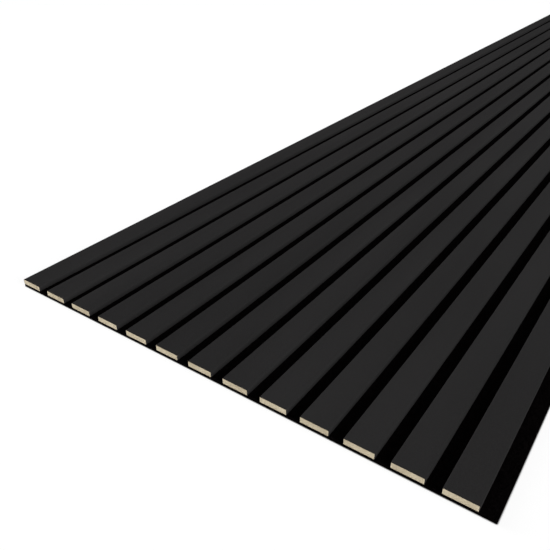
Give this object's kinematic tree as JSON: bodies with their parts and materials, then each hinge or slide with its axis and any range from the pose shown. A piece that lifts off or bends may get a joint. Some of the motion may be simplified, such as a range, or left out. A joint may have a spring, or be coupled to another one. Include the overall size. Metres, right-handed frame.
{
  "type": "acoustic slat wall panel",
  "caption": "Flat acoustic wall panel: straight matt black wrapped slats with square-cut ends, glued side by side on a thin black felt board that ends in a bare strip.",
  "frame": {"origin": "middle of the felt board's back face", "axes": "+X across the slats, towards the bare felt strip; +Y along the slats; +Z out of the slatted face"},
  "size_m": [0.52, 2.4, 0.0088],
  "materials": {
    "black_felt": "pressed needle felt, matt",
    "mdf_core": "bare sawn MDF",
    "black_wrap": "smooth matt decor film"
  },
  "bodies": {
    "root": {"felt_backing": "black_felt", "slat_core_01": "mdf_core", "slat_wrap_01": "black_wrap", "slat_core_02": "mdf_core", "slat_wrap_02": "black_wrap", "slat_core_03": "mdf_core", "slat_wrap_03": "black_wrap", "slat_core_04": "mdf_core", "slat_wrap_04": "black_wrap", "slat_core_05": "mdf_core", "slat_wrap_05": "black_wrap", "slat_core_06": "mdf_core", "slat_wrap_06": "black_wrap", "slat_core_07": "mdf_core", "slat_wrap_07": "black_wrap", "slat_core_08": "mdf_core", "slat_wrap_08": "black_wrap", "slat_core_09": "mdf_core", "slat_wrap_09": "black_wrap", "slat_core_10": "mdf_core", "slat_wrap_10": "black_wrap", "slat_core_11": "mdf_core", "slat_wrap_11": "black_wrap", "slat_core_12": "mdf_core", "slat_wrap_12": "black_wrap", "slat_core_13": "mdf_core", "slat_wrap_13": "black_wrap"}
  },
  "joints": []
}
